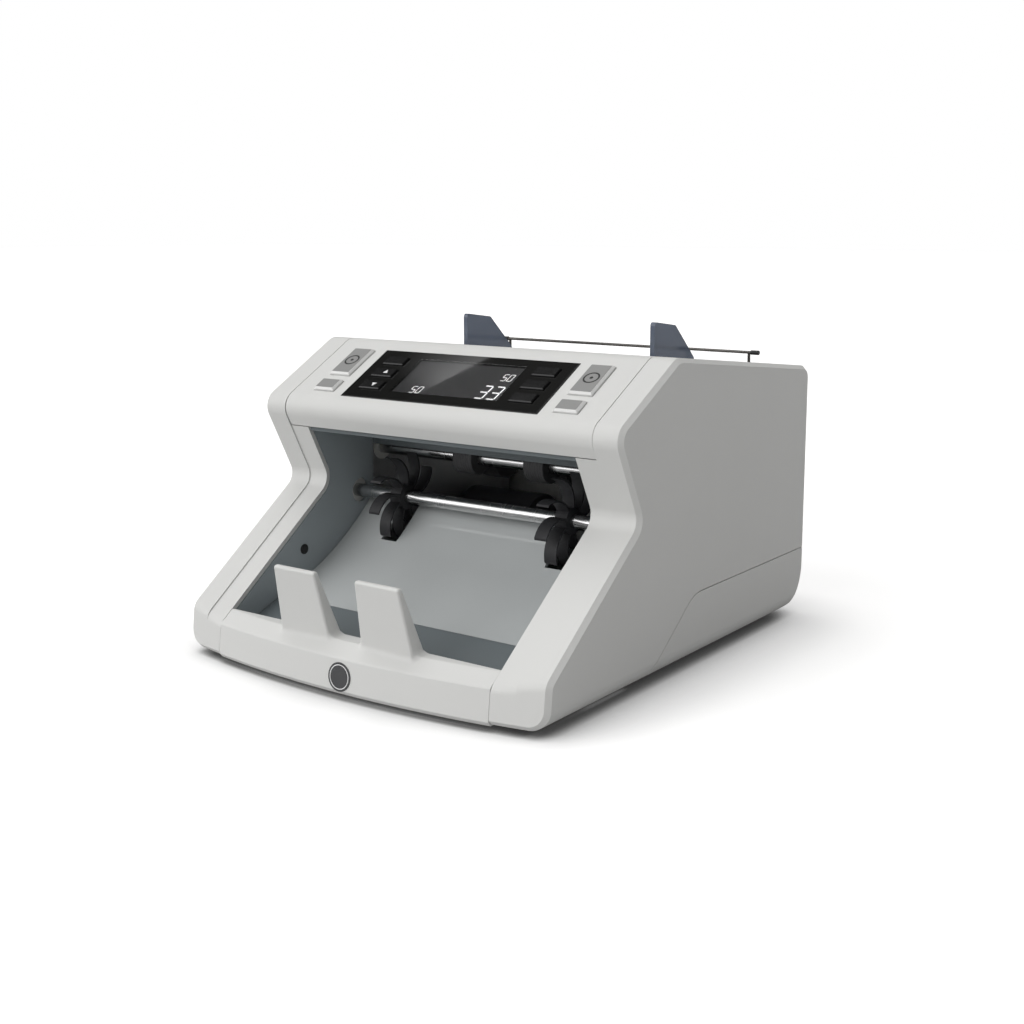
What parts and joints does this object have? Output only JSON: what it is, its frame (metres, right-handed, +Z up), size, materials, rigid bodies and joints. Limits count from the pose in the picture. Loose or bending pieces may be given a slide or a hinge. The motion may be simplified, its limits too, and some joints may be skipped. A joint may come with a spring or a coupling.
{
  "type": "banknote counting machine",
  "caption": "Desktop banknote counter: hopper with sliding guides, sloping control panel, rollers and finned stacker, open pocket with two stops.",
  "frame": {"origin": "on the table, under the middle of the machine", "axes": "+Z up, -Y towards the front with the note pocket, +X towards the right side seen from the front"},
  "size_m": [0.25, 0.2951, 0.1857],
  "materials": {
    "body_plastic": "satin",
    "button_plastic": "satin",
    "key_plastic": "satin",
    "black_plastic": "gloss",
    "slate_plastic": "satin",
    "glossy_sheet": "gloss",
    "badge": "satin",
    "display_window": "gloss",
    "display_panel": "gloss",
    "smoked_plastic": "gloss",
    "white_nylon": "satin",
    "circuit_board": "satin",
    "bright_steel": "polished",
    "plated_steel": "satin",
    "motor_case": "satin",
    "roller_rubber": "matte",
    "fin_rubber": "matte",
    "belt_rubber": "matte"
  },
  "bodies": {
    "casing": {"base_tray": "body_plastic", "case_screws": "bright_steel", "display_bezel": "black_plastic", "display_window": "display_window", "feed_belt": "belt_rubber", "feed_motor": "motor_case", "frame_plates": "plated_steel", "front_lip": "body_plastic", "hopper_tray": "body_plastic", "lcd_module": "display_panel", "left_side_cover": "body_plastic", "lip_badge": "badge", "main_board": "circuit_board", "mains_inlet": "black_plastic", "panel_board": "circuit_board", "panel_housing": "body_plastic", "pocket_ceiling": "slate_plastic", "pocket_floor": "slate_plastic", "pocket_walls": "slate_plastic", "power_supply": "plated_steel", "power_switch_case": "black_plastic", "rear_cover": "body_plastic", "right_side_cover": "body_plastic", "rubber_feet": "roller_rubber", "sensor_bar": "black_plastic", "separator_bracket": "plated_steel", "separator_pads": "roller_rubber", "shaft_bushes": "white_nylon", "stacker_belt": "belt_rubber", "stacker_motor": "motor_case", "stacker_plate": "glossy_sheet", "tie_rods": "bright_steel"},
    "start_button_left": {"start_button_left": "button_plastic"},
    "clear_button_left": {"clear_button_left": "button_plastic"},
    "start_button_right": {"start_button_right": "button_plastic"},
    "clear_button_right": {"clear_button_right": "button_plastic"},
    "top_key_left": {"top_key_left": "key_plastic"},
    "middle_key_left": {"middle_key_left": "key_plastic"},
    "bottom_key_left": {"bottom_key_left": "key_plastic"},
    "top_key_right": {"top_key_right": "key_plastic"},
    "middle_key_right": {"middle_key_right": "key_plastic"},
    "bottom_key_right": {"bottom_key_right": "key_plastic"},
    "left_guide": {"left_note_guide": "smoked_plastic"},
    "right_guide": {"right_note_guide": "smoked_plastic"},
    "guide_pinion": {"guide_pinion": "white_nylon"},
    "note_rest": {"note_rest": "bright_steel", "note_rest_caps": "black_plastic"},
    "pickup_roller": {"pickup_shaft": "bright_steel", "pickup_tyres": "roller_rubber"},
    "feed_roller": {"feed_shaft": "bright_steel", "feed_tyres": "roller_rubber"},
    "transport_roller": {"transport_shaft": "bright_steel", "transport_tyres": "roller_rubber"},
    "pinch_roller": {"pinch_rollers": "roller_rubber"},
    "stacker": {"stacker_shaft": "bright_steel", "stacker_wheels": "fin_rubber"},
    "feed_motor_rotor": {"feed_motor_shaft": "bright_steel"},
    "stacker_motor_rotor": {"stacker_motor_shaft": "bright_steel"},
    "gap_screw": {"gap_screw": "bright_steel"},
    "power_rocker": {"power_rocker": "black_plastic"}
  },
  "joints": [
    {"name": "start_button_left_press", "type": "slide", "parent": "casing", "child": "start_button_left", "axis": [0, 0.4939, -0.8695], "range_m": [0, 0.0008], "stiffness_N_per_m": 600, "springref_m": -0.0008},
    {"name": "clear_button_left_press", "type": "slide", "parent": "casing", "child": "clear_button_left", "axis": [0, 0.4939, -0.8695], "range_m": [0, 0.0008], "stiffness_N_per_m": 600, "springref_m": -0.0008},
    {"name": "start_button_right_press", "type": "slide", "parent": "casing", "child": "start_button_right", "axis": [0, 0.4939, -0.8695], "range_m": [0, 0.0008], "stiffness_N_per_m": 600, "springref_m": -0.0008},
    {"name": "clear_button_right_press", "type": "slide", "parent": "casing", "child": "clear_button_right", "axis": [0, 0.4939, -0.8695], "range_m": [0, 0.0008], "stiffness_N_per_m": 600, "springref_m": -0.0008},
    {"name": "top_key_left_press", "type": "slide", "parent": "casing", "child": "top_key_left", "axis": [0, 0.4939, -0.8695], "range_m": [0, 0.0008], "stiffness_N_per_m": 600, "springref_m": -0.0008},
    {"name": "middle_key_left_press", "type": "slide", "parent": "casing", "child": "middle_key_left", "axis": [0, 0.4939, -0.8695], "range_m": [0, 0.0008], "stiffness_N_per_m": 600, "springref_m": -0.0008},
    {"name": "bottom_key_left_press", "type": "slide", "parent": "casing", "child": "bottom_key_left", "axis": [0, 0.4939, -0.8695], "range_m": [0, 0.0008], "stiffness_N_per_m": 600, "springref_m": -0.0008},
    {"name": "top_key_right_press", "type": "slide", "parent": "casing", "child": "top_key_right", "axis": [0, 0.4939, -0.8695], "range_m": [0, 0.0008], "stiffness_N_per_m": 600, "springref_m": -0.0008},
    {"name": "middle_key_right_press", "type": "slide", "parent": "casing", "child": "middle_key_right", "axis": [0, 0.4939, -0.8695], "range_m": [0, 0.0008], "stiffness_N_per_m": 600, "springref_m": -0.0008},
    {"name": "bottom_key_right_press", "type": "slide", "parent": "casing", "child": "bottom_key_right", "axis": [0, 0.4939, -0.8695], "range_m": [0, 0.0008], "stiffness_N_per_m": 600, "springref_m": -0.0008},
    {"name": "left_guide_slide", "type": "slide", "parent": "casing", "child": "left_guide", "axis": [1, 0, 0], "range_m": [-0.018, 0.022]},
    {"name": "right_guide_slide", "type": "slide", "parent": "casing", "child": "right_guide", "axis": [1, 0, 0], "range_m": [-0.022, 0.018]},
    {"name": "guide_pinion_spin", "type": "hinge", "parent": "casing", "child": "guide_pinion", "pos_m": [0, 0.094, 0.12], "axis": [0, 0, 1], "range_deg": [-115.59, 141.06]},
    {"name": "note_rest_lift", "type": "slide", "parent": "casing", "child": "note_rest", "axis": [0, 0, 1], "range_m": [0, 0.025]},
    {"name": "feed_roller_spin", "type": "hinge", "parent": "casing", "child": "feed_roller", "pos_m": [0, 0.03, 0.103], "axis": [1, 0, 0], "continuous": true},
    {"name": "pickup_roller_spin", "type": "hinge", "parent": "casing", "child": "pickup_roller", "pos_m": [0, 0.062, 0.1146], "axis": [1, 0, 0], "continuous": true},
    {"name": "transport_roller_spin", "type": "hinge", "parent": "casing", "child": "transport_roller", "pos_m": [0, 0.002, 0.104], "axis": [1, 0, 0], "continuous": true},
    {"name": "pinch_roller_spin", "type": "hinge", "parent": "casing", "child": "pinch_roller", "pos_m": [0, 0.002, 0.122], "axis": [1, 0, 0], "continuous": true},
    {"name": "feed_motor_spin", "type": "hinge", "parent": "casing", "child": "feed_motor_rotor", "pos_m": [0, 0.096, 0.044], "axis": [1, 0, 0], "continuous": true},
    {"name": "stacker_spin", "type": "hinge", "parent": "casing", "child": "stacker", "pos_m": [0, -0.022, 0.08], "axis": [1, 0, 0], "continuous": true},
    {"name": "stacker_motor_spin", "type": "hinge", "parent": "casing", "child": "stacker_motor_rotor", "pos_m": [0, 0.032, 0.052], "axis": [1, 0, 0], "continuous": true},
    {"name": "gap_screw_turn", "type": "hinge", "parent": "casing", "child": "gap_screw", "pos_m": [0, 0.042, 0.147], "axis": [0, 1, 0], "range_deg": [-180, 180]},
    {"name": "power_rocker_tilt", "type": "hinge", "parent": "casing", "child": "power_rocker", "pos_m": [0.084, 0.1395, 0.062], "axis": [1, 0, 0], "range_deg": [0, 12]}
  ],
  "couplings": [
    {"joint": "pickup_roller_spin", "follows": "feed_roller_spin", "ratio": 1.5455},
    {"joint": "transport_roller_spin", "follows": "feed_roller_spin", "ratio": 1.8889},
    {"joint": "pinch_roller_spin", "follows": "feed_roller_spin", "ratio": -2.6984},
    {"joint": "feed_motor_spin", "follows": "feed_roller_spin", "ratio": 2.125},
    {"joint": "stacker_motor_spin", "follows": "stacker_spin", "ratio": 1.75},
    {"joint": "right_guide_slide", "follows": "left_guide_slide", "ratio": -1},
    {"joint": "guide_pinion_spin", "follows": "left_guide_slide", "rad_per_m": 111.11}
  ]
}
